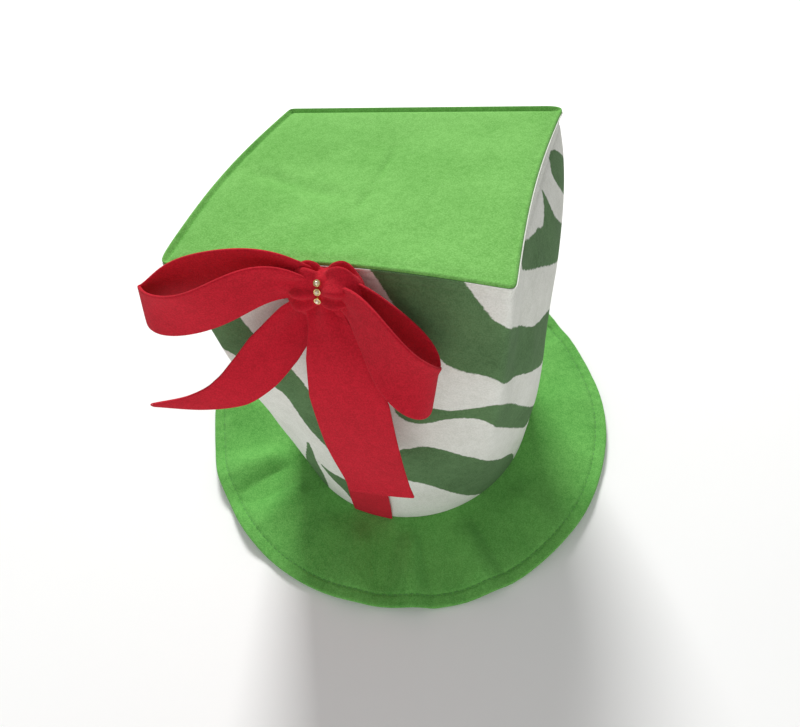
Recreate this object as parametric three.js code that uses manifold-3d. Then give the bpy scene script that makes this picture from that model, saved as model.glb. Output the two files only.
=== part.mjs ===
// A square-topped costume top hat of foam-backed felt, with a felt band and bow at the front.
// Millimetres, +Z up. The origin is the middle of the brim, on the plane that it rests on. Shapes
// are drawn from the middle of the head opening, which lies a little to the back and right of it.
// The front, where the bow is, faces -Y. The soft top slumps to the back and left.
import * as THREE from "three";
import { mergeVertices } from "three/addons/utils/BufferGeometryUtils.js";
import Module from "manifold-3d";

const wasm = await Module();
wasm.setup();

// The head opening, inside the crown, and the foam-backed felt round it
const HEAD_WIDTH = 180;
const HEAD_DEPTH = 194;
const CROWN_WALL = 3;

// The brim is a round plate of two felts over foam, wider at the front and left
const BRIM_RADIUS = 158;
const BRIM_SHIFT_X = -4;
const BRIM_SHIFT_Y = -5;
const BRIM_THICKNESS = 4;
const BRIM_FLAT = 9;
const BRIM_LIFT = 10;
const BRIM_WOBBLE = 4;

// The crown rises to a square top, whose edge stands out past the wall as a sewn lip
const CROWN_HEIGHT = 226;
const CROWN_BULGE = 4;
const FOLD_DEPTH = 8;
const TOP_SIDE = 164;
const TOP_SHIFT_X = -2;
const TOP_SHIFT_Y = -8;
const TOP_SHEET = 3;
const TOP_DENT = 3;
const SEAM_LIP = 4;
const LIP_RISE = 1.5;

// Red felt: the band up the front, the bow's ribbon, and the gathered knot that holds it
const FELT = 1.5;
const BAND_WIDTH = 29;
const BAND_X = -4.5;
const LOOP_WIDTH = 26;
const TAIL_WIDTH = 37;
const LEFT_LOOP_REACH = 84;
const RIGHT_LOOP_REACH = 52;
const LOOP_OPENING = 24;
const LEFT_TAIL_REACH = 94;
const FRONT_TAIL_DROP = 150;
const TAIL_STAND_OFF = 13;
const KNOT_WIDTH = 36;
const KNOT_HEIGHT = 24;
const KNOT_DEPTH = 18;
const KNOT_WAIST = 0.24;
const KNOT_X = -3;
const KNOT_RISE = -4.5;
const KNOT_PRESS = 1.15;

// A short row of cup-set crystals over the knot's waist
const STONES = 3;
const CUP_RADIUS = 1.5;
const CUP_HEIGHT = 2.2;
const STONE_RISE = 0.8;
const STONE_PITCH = 3.5;
const STONE_MIDDLE = 30;

// Pieces that rest on each other keep this gap
const GAP = 0.3;

// Facets
const AROUND = 64;
const CROWN_ROWS = 8;
const BRIM_ROWS = 5;
const TOP_RINGS = 4;
const BAND_ROWS = 10;
const ACROSS = 3;

// Where the square top's corners stand, anticlockwise from the back right. rise is a share of the
// top's side. bow is how far the edge from this corner to the next curves out, a share of it too.
const CORNERS = [
  { x: 1, y: 1, rise: -0.02, bow: 0 },
  { x: -1, y: 1, rise: -0.11, bow: 0.045 },
  { x: -1, y: -1, rise: 0.025, bow: -0.046 },
  { x: 1, y: -1, rise: 0.125, bow: -0.03 },
];

// The brim's edge, anticlockwise from the right. lift is a share of BRIM_LIFT, and reach, how far
// the edge wanders out, a share of BRIM_WOBBLE.
const BRIM_WAVES = [
  { around: 0.0, lift: 0.3, reach: -0.2 },
  { around: 0.08, lift: 0.15, reach: -1 },
  { around: 0.17, lift: 0.55, reach: -0.6 },
  { around: 0.27, lift: 0.1, reach: 0 },
  { around: 0.37, lift: 0.7, reach: 0 },
  { around: 0.46, lift: 0.2, reach: 0.2 },
  { around: 0.52, lift: 0.75, reach: 0.2 },
  { around: 0.575, lift: 0.0, reach: 0 },
  { around: 0.62, lift: 0.6, reach: -0.4 },
  { around: 0.7, lift: 0.0, reach: 0 },
  { around: 0.77, lift: 0.35, reach: 0 },
  { around: 0.83, lift: 0.0, reach: 0.3 },
  { around: 0.92, lift: 0.5, reach: 0.2 },
];

// Soft folds of the crown's wall. around, up and their spreads are shares of the way round and of
// the height, push is a share of FOLD_DEPTH, and out is positive.
const WALL_FOLDS = [
  { around: 0.04, up: 0.84, wide: 0.1, tall: 0.3, push: 1.3 },
  { around: 0.98, up: 0.35, wide: 0.07, tall: 0.3, push: 0.6 },
  { around: 0.915, up: 0.7, wide: 0.018, tall: 0.2, push: -0.35 },
  { around: 0.25, up: 0.45, wide: 0.08, tall: 0.25, push: 0.5 },
  { around: 0.4, up: 0.7, wide: 0.04, tall: 0.2, push: -0.6 },
  { around: 0.51, up: 0.4, wide: 0.06, tall: 0.25, push: 0.25 },
  { around: 0.66, up: 0.35, wide: 0.035, tall: 0.22, push: -0.3 },
  { around: 0.84, up: 0.3, wide: 0.04, tall: 0.22, push: -0.25 },
];

// Shallow dents of the square top. x, y and wide are shares of its half side.
const TOP_DENTS = [
  { x: 0.0, y: 0.0, wide: 0.75, push: -0.7 },
  { x: -0.5, y: 0.15, wide: 0.3, push: -0.7 },
  { x: -0.1, y: 0.45, wide: 0.2, push: -0.5 },
  { x: 0.35, y: -0.2, wide: 0.4, push: 0.3 },
];

// The ribbons of the bow, section by section, from the knot. x and z are shares of the reach, out
// is a share of the loop's opening or the tail's stand-off, and wide is a share of the ribbon's
// width. Its width points up, leans to the right by lean and tips to the back by tip, in degrees.
const LEFT_LOOP = [
  { x: -0.03, out: -0.12, z: 0.0, wide: 0.35, lean: 0, tip: 0 },
  { x: -0.12, out: 0.0, z: 0.08, wide: 0.75, lean: 0, tip: 0 },
  { x: -0.26, out: 0.06, z: 0.1, wide: 0.96, lean: 0, tip: 0 },
  { x: -0.52, out: 0.08, z: 0.03, wide: 0.96, lean: 0, tip: 0 },
  { x: -0.8, out: 0.16, z: -0.08, wide: 0.96, lean: 0, tip: 0 },
  { x: -0.9, out: 0.4, z: -0.11, wide: 0.94, lean: 0, tip: 0 },
  { x: -0.9, out: 0.7, z: -0.11, wide: 0.94, lean: 0, tip: -6 },
  { x: -0.79, out: 0.94, z: -0.06, wide: 0.96, lean: 0, tip: -12 },
  { x: -0.58, out: 1.0, z: 0.015, wide: 0.98, lean: 0, tip: -14 },
  { x: -0.38, out: 0.84, z: 0.09, wide: 1, lean: 0, tip: -10 },
  { x: -0.26, out: 0.5, z: 0.12, wide: 1, lean: 0, tip: 0 },
  { x: -0.14, out: 0.34, z: 0.12, wide: 0.75, lean: 0, tip: 0 },
  { x: -0.03, out: 0.12, z: 0.01, wide: 0.35, lean: 0, tip: 0 },
];
const RIGHT_LOOP = [
  { x: 0.06, out: -0.12, z: 0.0, wide: 0.35, lean: 10, tip: 0 },
  { x: 0.24, out: 0.04, z: 0.07, wide: 0.7, lean: 15, tip: 0 },
  { x: 0.42, out: 0.14, z: -0.12, wide: 0.85, lean: 20, tip: 0 },
  { x: 0.62, out: 0.3, z: -0.4, wide: 1, lean: 20, tip: 10 },
  { x: 0.82, out: 0.55, z: -0.6, wide: 1, lean: 15, tip: 25 },
  { x: 0.91, out: 0.85, z: -0.61, wide: 1, lean: 10, tip: 35 },
  { x: 0.84, out: 1.1, z: -0.51, wide: 1, lean: 15, tip: 25 },
  { x: 0.7, out: 1.14, z: -0.26, wide: 0.95, lean: 35, tip: 0 },
  { x: 0.56, out: 0.96, z: -0.05, wide: 0.9, lean: 45, tip: -10 },
  { x: 0.4, out: 0.66, z: 0.1, wide: 0.85, lean: 40, tip: -10 },
  { x: 0.22, out: 0.36, z: 0.12, wide: 0.7, lean: 20, tip: 0 },
  { x: 0.06, out: 0.12, z: 0.01, wide: 0.35, lean: 10, tip: 0 },
];
const LEFT_TAIL = [
  { x: -0.02, out: -0.1, z: -0.07, wide: 0.3, lean: 0, tip: 0 },
  { x: -0.14, out: 0.25, z: -0.18, wide: 0.55, lean: -20, tip: 0 },
  { x: -0.28, out: 1.0, z: -0.34, wide: 0.7, lean: -24, tip: 0 },
  { x: -0.4, out: 1.6, z: -0.48, wide: 0.68, lean: -28, tip: 0 },
  { x: -0.53, out: 2.1, z: -0.59, wide: 0.6, lean: -22, tip: 0 },
  { x: -0.72, out: 2.5, z: -0.66, wide: 0.36, lean: -14, tip: 0 },
  { x: -0.99, out: 2.9, z: -0.69, wide: 0.05, lean: -8, tip: 0 },
];
const FRONT_TAIL = [
  { x: -0.005, out: 0.3, z: 0.0, wide: 0.4, lean: 90, tip: 0 },
  { x: 0.02, out: 1.0, z: -0.07, wide: 0.55, lean: 88, tip: 0 },
  { x: 0.05, out: 1.5, z: -0.15, wide: 0.85, lean: 84, tip: 0 },
  { x: 0.075, out: 1.9, z: -0.31, wide: 1.08, lean: 80, tip: 0 },
  { x: 0.1, out: 2.3, z: -0.57, wide: 1.1, lean: 80, tip: 0 },
  { x: 0.13, out: 2.5, z: -0.77, wide: 1.04, lean: 82, tip: 0 },
  { x: 0.145, out: 2.6, z: -0.84, wide: 1.04, lean: 92, tip: 0 },
];

const headRadiusX = HEAD_WIDTH / 2;
const headRadiusY = HEAD_DEPTH / 2;
const crownFoot = BRIM_THICKNESS + GAP;
const topHalf = TOP_SIDE / 2;
const waistRadius = (KNOT_HEIGHT / 2) * (1 - KNOT_WAIST);
const frontCentre = 0.75;

// The bump at a signed distance of d spreads, 1 in the middle
const bump = (d) => Math.exp(-d * d);

// The signed distance between two shares of the way round
function apart(a, b) {
  const d = a - b;
  return d - Math.round(d);
}

const smooth = (t) => t * t * (3 - 2 * t);

// Reads a column of rows placed round the hat, smoothly from each row to the next
function aroundTable(rows, column, around) {
  const share = around - Math.floor(around);
  for (let i = 0; i < rows.length; i++) {
    const next = rows[(i + 1) % rows.length];
    const end = i + 1 < rows.length ? next.around : next.around + 1;
    if (share >= rows[i].around && share <= end) {
      const t = smooth((share - rows[i].around) / (end - rows[i].around));
      return THREE.MathUtils.lerp(rows[i][column], next[column], t);
    }
  }
  return rows[0][column];
}

// The head's oval, grown by a distance
function ovalPoint(around, grow) {
  const angle = 2 * Math.PI * around;
  return new THREE.Vector2(
    (headRadiusX + grow) * Math.cos(angle),
    (headRadiusY + grow) * Math.sin(angle),
  );
}

// The square top's outline, taken in by a distance. Its corners lie at 1/8, 3/8, 5/8 and 7/8 round.
function squarePoint(around, inset) {
  const share = (around - 1 / 8 + 1) % 1;
  const side = Math.floor(share * 4) % 4;
  const t = share * 4 - Math.floor(share * 4);
  const from = CORNERS[side];
  const to = CORNERS[(side + 1) % 4];
  const half = topHalf - inset;
  const out = new THREE.Vector2((from.x + to.x) / 2, (from.y + to.y) / 2);
  const bow = from.bow * TOP_SIDE * Math.sin(Math.PI * t);
  return new THREE.Vector2(
    TOP_SHIFT_X + half * THREE.MathUtils.lerp(from.x, to.x, t) + out.x * bow,
    TOP_SHIFT_Y + half * THREE.MathUtils.lerp(from.y, to.y, t) + out.y * bow,
  );
}

// The height of the square top's upper face, which tilts and dips with its four corners
function topHeight(x, y) {
  const right = (x - TOP_SHIFT_X) / TOP_SIDE + 0.5;
  const back = (y - TOP_SHIFT_Y) / TOP_SIDE + 0.5;
  const [backRight, backLeft, frontLeft, frontRight] = CORNERS.map((corner) => corner.rise);
  const backEdge = THREE.MathUtils.lerp(backLeft, backRight, right);
  const frontEdge = THREE.MathUtils.lerp(frontLeft, frontRight, right);
  return CROWN_HEIGHT + TOP_SIDE * THREE.MathUtils.lerp(frontEdge, backEdge, back);
}

function topDents(x, y) {
  let sum = 0;
  for (const dent of TOP_DENTS) {
    const dx = (x - TOP_SHIFT_X) / topHalf - dent.x;
    const dy = (y - TOP_SHIFT_Y) / topHalf - dent.y;
    sum += dent.push * bump(Math.hypot(dx, dy) / dent.wide);
  }
  return TOP_DENT * sum;
}

// A point of the crown's wall. depth is 0 on the outer face and CROWN_WALL on the inner one.
function wallPoint(around, up, depth) {
  const foot = ovalPoint(around, CROWN_WALL - depth);
  const head = squarePoint(around, SEAM_LIP + depth);
  const flat = foot.clone().lerp(head, up);
  const held = 1 - Math.abs(2 * up - 1) ** 6;
  let out = CROWN_BULGE * Math.sin(Math.PI * up);
  for (const fold of WALL_FOLDS) {
    const sideways = apart(around, fold.around) / fold.wide;
    const upwards = (up - fold.up) / fold.tall;
    out += FOLD_DEPTH * fold.push * held * bump(Math.hypot(sideways, upwards));
  }
  flat.addScaledVector(flat.clone().normalize(), out);
  const rim = topHeight(head.x, head.y) - TOP_SHEET - GAP;
  return new THREE.Vector3(flat.x, flat.y, THREE.MathUtils.lerp(crownFoot, rim, up));
}

// How far round the front of the wall has a given x, at a height share
function aroundAtFront(x, up, depth) {
  let low = 0.64;
  let high = 0.86;
  for (let i = 0; i < 30; i++) {
    const middle = (low + high) / 2;
    if (wallPoint(middle, up, depth).x < x) low = middle;
    else high = middle;
  }
  return (low + high) / 2;
}

// Turns a soup of triangles into a geometry with shared vertices, faces out
function geometryOf(triangles) {
  const positions = [];
  for (const [a, b, c] of triangles) {
    const thin = Math.min(a.distanceTo(b), b.distanceTo(c), c.distanceTo(a));
    if (thin > 1e-4) positions.push(...a.toArray(), ...b.toArray(), ...c.toArray());
  }
  let volume = 0;
  for (let i = 0; i < positions.length; i += 9) {
    const a = new THREE.Vector3().fromArray(positions, i);
    const b = new THREE.Vector3().fromArray(positions, i + 3);
    const c = new THREE.Vector3().fromArray(positions, i + 6);
    volume += a.dot(b.cross(c));
  }
  if (volume < 0) {
    for (let i = 0; i < positions.length; i += 9) {
      const second = positions.slice(i + 3, i + 6);
      positions.splice(i + 3, 3, ...positions.slice(i + 6, i + 9));
      positions.splice(i + 6, 3, ...second);
    }
  }
  const geometry = new THREE.BufferGeometry();
  geometry.setAttribute("position", new THREE.Float32BufferAttribute(positions, 3));
  const merged = mergeVertices(geometry, 1e-4);
  merged.computeVertexNormals();
  return merged;
}

// Two triangles over a grid cell
function pushQuad(triangles, a, b, c, d) {
  triangles.push([a, b, c], [a, c, d]);
}

// A closed body between two grids of points that have the same rows and columns. around joins the
// last column to the first, and sealed closes the two ends where the rows start and end.
function bodyBetween(outer, inner, around, sealed = true) {
  const triangles = [];
  const rows = outer.length;
  const columns = outer[0].length;
  const last = around ? columns : columns - 1;
  for (let r = 0; r + 1 < rows; r++) {
    for (let c = 0; c < last; c++) {
      const d = (c + 1) % columns;
      pushQuad(triangles, outer[r][c], outer[r][d], outer[r + 1][d], outer[r + 1][c]);
      pushQuad(triangles, inner[r][d], inner[r][c], inner[r + 1][c], inner[r + 1][d]);
    }
    if (!around) {
      const e = columns - 1;
      pushQuad(triangles, inner[r][0], outer[r][0], outer[r + 1][0], inner[r + 1][0]);
      pushQuad(triangles, outer[r][e], inner[r][e], inner[r + 1][e], outer[r + 1][e]);
    }
  }
  for (let c = 0; c < last; c++) {
    const d = (c + 1) % columns;
    const e = rows - 1;
    if (sealed) pushQuad(triangles, outer[0][d], outer[0][c], inner[0][c], inner[0][d]);
    pushQuad(triangles, outer[e][c], outer[e][d], inner[e][d], inner[e][c]);
  }
  return geometryOf(triangles);
}

// A grid of points from a function of two shares, over a list of row shares
function gridOf(rowShares, columns, around, point) {
  const steps = around ? columns : columns - 1;
  return rowShares.map((row) =>
    Array.from({ length: columns }, (_, c) => point(row, c / steps)),
  );
}

const evenly = (count) => Array.from({ length: count + 1 }, (_, i) => i / count);

function crownSide() {
  const shares = evenly(CROWN_ROWS);
  const face = (depth) => gridOf(shares, AROUND, true, (up, round) => wallPoint(round, up, depth));
  return bodyBetween(face(0), face(CROWN_WALL), true);
}

// The brim's underside stays flat round the opening and lifts in waves towards its edge
function brimPoint(round, row, height) {
  const inner = ovalPoint(round, 0);
  const angle = 2 * Math.PI * round;
  const radius = BRIM_RADIUS + BRIM_WOBBLE * aroundTable(BRIM_WAVES, "reach", round);
  const outer = new THREE.Vector2(
    BRIM_SHIFT_X + radius * Math.cos(angle),
    BRIM_SHIFT_Y + radius * Math.sin(angle),
  );
  const flatShare = (CROWN_WALL + BRIM_FLAT) / inner.distanceTo(outer);
  const beyond = Math.max(0, row - 1) / BRIM_ROWS;
  const share = row < 1 ? row * flatShare : THREE.MathUtils.lerp(flatShare, 1, beyond);
  const lift = BRIM_LIFT * aroundTable(BRIM_WAVES, "lift", round) * beyond ** 1.3;
  const flat = inner.lerp(outer, share);
  return new THREE.Vector3(flat.x, flat.y, lift + height);
}

function brim() {
  const rows = Array.from({ length: BRIM_ROWS + 2 }, (_, i) => i);
  const face = (height) =>
    gridOf(rows, AROUND, true, (row, round) => brimPoint(round, row, height));
  return bodyBetween(face(BRIM_THICKNESS), face(0), true);
}

// The square top is one sheet, its outermost ring raised as the sewn lip
function crownTop() {
  const middle = new THREE.Vector2(TOP_SHIFT_X, TOP_SHIFT_Y);
  const insets = evenly(TOP_RINGS).concat([2]);
  const point = (ring, round, drop) => {
    const edge = squarePoint(round, ring > 1 ? 0 : SEAM_LIP);
    const flat = middle.clone().lerp(edge, Math.min(ring, 1));
    const dent = ring < 1 ? topDents(flat.x, flat.y) * (1 - ring ** 4) : 0;
    const rise = ring > 1 ? LIP_RISE : 0;
    return new THREE.Vector3(flat.x, flat.y, topHeight(flat.x, flat.y) + dent + rise - drop);
  };
  const face = (drop) => gridOf(insets, AROUND, true, (ring, round) => point(ring, round, drop));
  return bodyBetween(face(0), face(TOP_SHEET), true, false);
}

// The band lies on the wall from the brim up to the lip
function band() {
  const point = (up, across, depth) => {
    const x = BAND_X + BAND_WIDTH * (across - 0.5);
    return wallPoint(aroundAtFront(x, up, depth), up, depth);
  };
  const shares = evenly(BAND_ROWS);
  const face = (depth) =>
    gridOf(shares, ACROSS + 1, false, (up, across) => point(up, across, depth));
  return bodyBetween(face(-GAP - FELT), face(-GAP), false);
}

// The knot's middle stands in front of the band, at the top edge of the crown
const knotUp = 0.96;
const knotWall = wallPoint(aroundAtFront(KNOT_X, knotUp, -GAP - FELT), knotUp, -GAP - FELT);
const knotCentre = new THREE.Vector3(
  KNOT_X,
  squarePoint(frontCentre, 0).y - KNOT_DEPTH / 2 + KNOT_PRESS,
  topHeight(KNOT_X, knotWall.y) + KNOT_RISE,
);

// A point of the gathered knot in a direction from its middle: two puffs and a waist
function knotPoint(direction, grow) {
  const x = (direction.x * KNOT_WIDTH) / 2;
  const waist = 1 - KNOT_WAIST * bump(x / (KNOT_WIDTH / 6));
  const angle = Math.atan2(direction.z, direction.y);
  const pleat = 1 + 0.05 * Math.cos(6 * angle + 2 * direction.x);
  return new THREE.Vector3(
    x + direction.x * grow,
    direction.y * ((KNOT_DEPTH / 2) * waist * pleat + grow),
    direction.z * ((KNOT_HEIGHT / 2) * waist * pleat + grow),
  );
}

function knot(grow = 0) {
  const ball = new THREE.SphereGeometry(1, 20, 12).rotateZ(Math.PI / 2);
  ball.deleteAttribute("normal");
  ball.deleteAttribute("uv");
  const merged = mergeVertices(ball, 1e-4);
  const positions = merged.attributes.position;
  for (let i = 0; i < positions.count; i++) {
    const direction = new THREE.Vector3().fromBufferAttribute(positions, i).normalize();
    const point = knotPoint(direction, grow);
    positions.setXYZ(i, point.x, point.y, point.z);
  }
  merged.computeVertexNormals();
  return merged;
}

function solidOf(geometry) {
  const bare = geometry.clone();
  bare.deleteAttribute("normal");
  bare.deleteAttribute("uv");
  const merged = mergeVertices(bare, 1e-4);
  return new wasm.Manifold(
    new wasm.Mesh({
      numProp: 3,
      vertProperties: new Float32Array(merged.attributes.position.array),
      triVerts: new Uint32Array(merged.index.array),
    }),
  );
}

function geometryFrom(solid) {
  const mesh = solid.getMesh();
  const geometry = new THREE.BufferGeometry();
  geometry.setAttribute("position", new THREE.Float32BufferAttribute(mesh.vertProperties, 3));
  geometry.setIndex(new THREE.BufferAttribute(mesh.triVerts, 1));
  geometry.computeVertexNormals();
  return geometry;
}

// Keeps the largest body, and drops what a cut leaves inside the knot
function largestBody(solid) {
  const bodies = solid.decompose();
  return bodies.reduce((best, body) => (body.volume() > best.volume() ? body : best));
}

// A felt ribbon through a table of sections, in the knot's own frame. place gives a row's point.
function ribbon(rows, place, width, steps) {
  const run = new THREE.CatmullRomCurve3(rows.map(place), false, "centripetal");
  const column = (name, t) => {
    const at = t * (rows.length - 1);
    const i = Math.min(Math.floor(at), rows.length - 2);
    return THREE.MathUtils.lerp(rows[i][name], rows[i + 1][name], at - i);
  };
  const section = (t, share, side) => {
    const tangent = run.getTangent(t);
    const lean = THREE.MathUtils.degToRad(column("lean", t));
    const tip = THREE.MathUtils.degToRad(column("tip", t));
    const wide = new THREE.Vector3(
      Math.sin(lean) * Math.cos(tip),
      Math.sin(tip),
      Math.cos(lean) * Math.cos(tip),
    );
    wide.addScaledVector(tangent, -wide.dot(tangent)).normalize();
    const normal = new THREE.Vector3().crossVectors(tangent, wide);
    return run
      .getPoint(t)
      .addScaledVector(wide, width * column("wide", t) * (share - 0.5))
      .addScaledVector(normal, (side * FELT) / 2);
  };
  const shares = evenly(steps);
  const face = (side) =>
    gridOf(shares, ACROSS + 1, false, (t, share) => section(t, share, side));
  return bodyBetween(face(1), face(-1), false);
}

// Where a row of a loop or tail stands: x and z along its reach, out from the knot's middle
const placeBy = (reach, outwards) => (row) =>
  new THREE.Vector3(row.x * reach, -row.out * outwards, row.z * reach);

const grownKnot = solidOf(knot(GAP));
const cutAtKnot = (geometry) =>
  geometryFrom(largestBody(solidOf(geometry).subtract(grownKnot)));

// A cup-set crystal: a round metal cup with an eight-sided stone standing out of it
function cupStone() {
  const cup = new THREE.LatheGeometry(
    [
      new THREE.Vector2(0, 0),
      new THREE.Vector2(CUP_RADIUS * 0.8, 0),
      new THREE.Vector2(CUP_RADIUS, CUP_HEIGHT * 0.4),
      new THREE.Vector2(CUP_RADIUS, CUP_HEIGHT),
      new THREE.Vector2(0, CUP_HEIGHT),
    ],
    14,
  );
  const girdle = CUP_RADIUS * 0.84;
  const stone = new THREE.LatheGeometry(
    [
      new THREE.Vector2(0, CUP_HEIGHT * 0.5),
      new THREE.Vector2(girdle, CUP_HEIGHT * 0.5),
      new THREE.Vector2(girdle, CUP_HEIGHT + STONE_RISE * 0.1),
      new THREE.Vector2(girdle * 0.55, CUP_HEIGHT + STONE_RISE),
      new THREE.Vector2(0, CUP_HEIGHT + STONE_RISE),
    ],
    8,
  );
  return solidOf(cup).add(solidOf(stone)).rotate([90, 0, 0]);
}

const green = new THREE.MeshStandardMaterial({ color: 0x62b34a, roughness: 0.95, metalness: 0 });
const brimGreen = new THREE.MeshStandardMaterial({ color: 0x3f9137, roughness: 0.95, metalness: 0 });
const striped = new THREE.MeshStandardMaterial({ color: 0xe4e6e0, roughness: 0.95, metalness: 0 });
const red = new THREE.MeshStandardMaterial({ color: 0xb81f2d, roughness: 0.95, metalness: 0 });
const gold = new THREE.MeshStandardMaterial({ color: 0xe8d9a0, roughness: 0.25, metalness: 1 });

function named(name, geometry, material) {
  const mesh = new THREE.Mesh(geometry, material);
  mesh.name = name;
  return mesh;
}

function bow() {
  const group = new THREE.Group();
  group.position.copy(knotCentre);
  group.add(named("bow_knot", knot(), red));
  const ribbons = [
    ["bow_loop_left", LEFT_LOOP, placeBy(LEFT_LOOP_REACH, LOOP_OPENING), LOOP_WIDTH, 30],
    ["bow_loop_right", RIGHT_LOOP, placeBy(RIGHT_LOOP_REACH, LOOP_OPENING), LOOP_WIDTH, 28],
    ["bow_tail_left", LEFT_TAIL, placeBy(LEFT_TAIL_REACH, TAIL_STAND_OFF), TAIL_WIDTH, 16],
    ["bow_tail_front", FRONT_TAIL, placeBy(FRONT_TAIL_DROP, TAIL_STAND_OFF), TAIL_WIDTH, 16],
  ];
  for (const [name, rows, place, width, steps] of ribbons) {
    group.add(named(name, cutAtKnot(ribbon(rows, place, width, steps)), red));
  }
  return group;
}

// The crystals follow the knot's waist, over its upper front. Each cup's back takes the felt's form.
function stones() {
  const group = new THREE.Group();
  group.position.copy(knotCentre);
  for (let i = 0; i < STONES; i++) {
    const angle = STONE_MIDDLE + ((i - 1) * STONE_PITCH * 180) / (Math.PI * waistRadius);
    const turn = THREE.MathUtils.degToRad(angle);
    const direction = new THREE.Vector3(0, -Math.cos(turn), Math.sin(turn));
    const seat = knotPoint(direction, 0);
    const placed = cupStone().rotate([-angle, 0, 0]).translate(seat.toArray());
    group.add(named(`rhinestone_${i + 1}`, geometryFrom(placed.subtract(grownKnot)), gold));
  }
  return group;
}

const hat = new THREE.Group();
hat.position.set(-BRIM_SHIFT_X, -BRIM_SHIFT_Y, 0);
hat.add(
  named("brim", brim(), brimGreen),
  named("crown_side", crownSide(), striped),
  named("crown_top", crownTop(), green),
  named("front_band", band(), red),
  bow(),
  stones(),
);

export default hat;
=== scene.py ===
import bpy
import numpy as np
from mathutils import Matrix, Vector


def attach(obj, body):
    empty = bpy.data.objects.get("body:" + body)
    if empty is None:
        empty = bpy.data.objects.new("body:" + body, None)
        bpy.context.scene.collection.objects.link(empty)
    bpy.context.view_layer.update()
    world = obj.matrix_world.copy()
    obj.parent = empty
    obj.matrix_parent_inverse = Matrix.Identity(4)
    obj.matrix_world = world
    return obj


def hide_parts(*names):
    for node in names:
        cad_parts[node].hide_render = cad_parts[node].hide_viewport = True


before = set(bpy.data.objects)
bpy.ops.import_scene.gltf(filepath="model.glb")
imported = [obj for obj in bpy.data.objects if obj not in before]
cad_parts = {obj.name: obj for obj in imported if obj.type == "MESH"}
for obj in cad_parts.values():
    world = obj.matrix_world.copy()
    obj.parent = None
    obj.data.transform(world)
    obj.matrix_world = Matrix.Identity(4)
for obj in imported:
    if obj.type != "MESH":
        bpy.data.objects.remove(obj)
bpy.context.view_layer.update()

# The hat is drawn in millimetres from the middle of the head opening, and its pieces are set
# into the part's frame, in metres, when their mesh is made.
MM = 0.001
HEAD_MIDDLE = np.array([4.0, 5.0, 0.0])

HEAD_HALF_WIDTH, HEAD_HALF_DEPTH = 90.0, 97.0
CROWN_WALL = 3.0
BRIM_RADIUS, BRIM_SHIFT_X, BRIM_SHIFT_Y = 158.0, -4.0, -5.0
BRIM_THICKNESS, BRIM_FLAT, BRIM_LIFT, BRIM_WOBBLE = 4.0, 9.0, 10.0, 4.0
BRIM_SEAM = 8.0
CROWN_HEIGHT, CROWN_BULGE, FOLD_DEPTH = 226.0, 4.0, 8.0
TOP_SIDE, TOP_SHIFT_X, TOP_SHIFT_Y = 164.0, -2.0, -8.0
TOP_HALF = TOP_SIDE / 2
TOP_SHEET, TOP_DENT, LIP_RISE = 3.0, 3.0, 1.5
FELT = 1.5
BAND_WIDTH, BAND_X = 29.0, -4.5
LOOP_WIDTH, TAIL_WIDTH = 26.0, 37.0
LEFT_LOOP_REACH, RIGHT_LOOP_REACH, LOOP_OPENING = 84.0, 52.0, 24.0
LEFT_TAIL_REACH, FRONT_TAIL_DROP, TAIL_STAND_OFF = 94.0, 150.0, 13.0
KNOT_WIDTH, KNOT_HEIGHT, KNOT_DEPTH = 36.0, 24.0, 18.0
KNOT_WAIST, KNOT_X, KNOT_RISE, KNOT_PRESS = 0.24, -3.0, -4.5, 1.15
STONES, CUP_RADIUS, CUP_HEIGHT, STONE_RISE = 3, 1.5, 2.2, 0.8
STONE_PITCH, STONE_MIDDLE = 3.5, 30.0
GAP = 0.3

# The square top's corners, anticlockwise from the back right: x, y, rise, bow
CORNERS = np.array([
    (1.02, 1, -0.02, 0), (-1.05, 1, -0.11, 0.04), (-1, -1, 0.025, -0.046), (0.96, -1, 0.125, -0.022),
])
# The brim's edge, anticlockwise from the right: around, lift, reach
BRIM_WAVES = np.array([
    (0.0, 0.3, -0.2), (0.08, 0.15, -1), (0.17, 0.55, -0.6), (0.27, 0.1, 0), (0.37, 0.7, 0), (0.46, 0.2, 0.2),
    (0.52, 0.75, 0.2), (0.575, 0, 0), (0.62, 0.6, -0.4), (0.7, 0, 0), (0.77, 0.35, 0), (0.83, 0, 0.3),
    (0.92, 0.5, 0.2),
])
# Soft folds of the crown's wall: around, up, wide, tall, push
WALL_FOLDS = [
    (0.04, 0.84, 0.1, 0.3, 1.3), (0.98, 0.35, 0.07, 0.3, 0.6), (0.915, 0.7, 0.018, 0.2, -0.35),
    (0.25, 0.45, 0.08, 0.25, 0.5), (0.4, 0.7, 0.04, 0.2, -0.6), (0.51, 0.4, 0.06, 0.25, 0.25),
    (0.66, 0.35, 0.035, 0.22, -0.3), (0.84, 0.3, 0.04, 0.22, -0.25),
]
# Creases of the brim from the crown to the edge: around at the crown, around at the edge, wide, push
BRIM_CREASES = [
    (0.606, 0.602, 0.013, 7.0), (0.632, 0.629, 0.011, -6.5), (0.655, 0.66, 0.013, 5.0),
    (0.705, 0.7, 0.016, 3.2), (0.735, 0.752, 0.013, 3.6), (0.762, 0.77, 0.009, -3.0),
    (0.79, 0.795, 0.010, 8.0), (0.808, 0.814, 0.01, -5.0), (0.845, 0.848, 0.012, 6.5),
    (0.87, 0.868, 0.011, -5.0), (0.915, 0.912, 0.014, 4.0), (0.965, 0.965, 0.014, -3.0),
    (0.035, 0.04, 0.02, 2.4), (0.125, 0.12, 0.012, -3.6), (0.21, 0.205, 0.02, 3.0),
    (0.31, 0.315, 0.012, -3.6), (0.4, 0.395, 0.018, 3.4), (0.455, 0.46, 0.011, -3.8),
    (0.54, 0.535, 0.016, 2.4),
]
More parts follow.
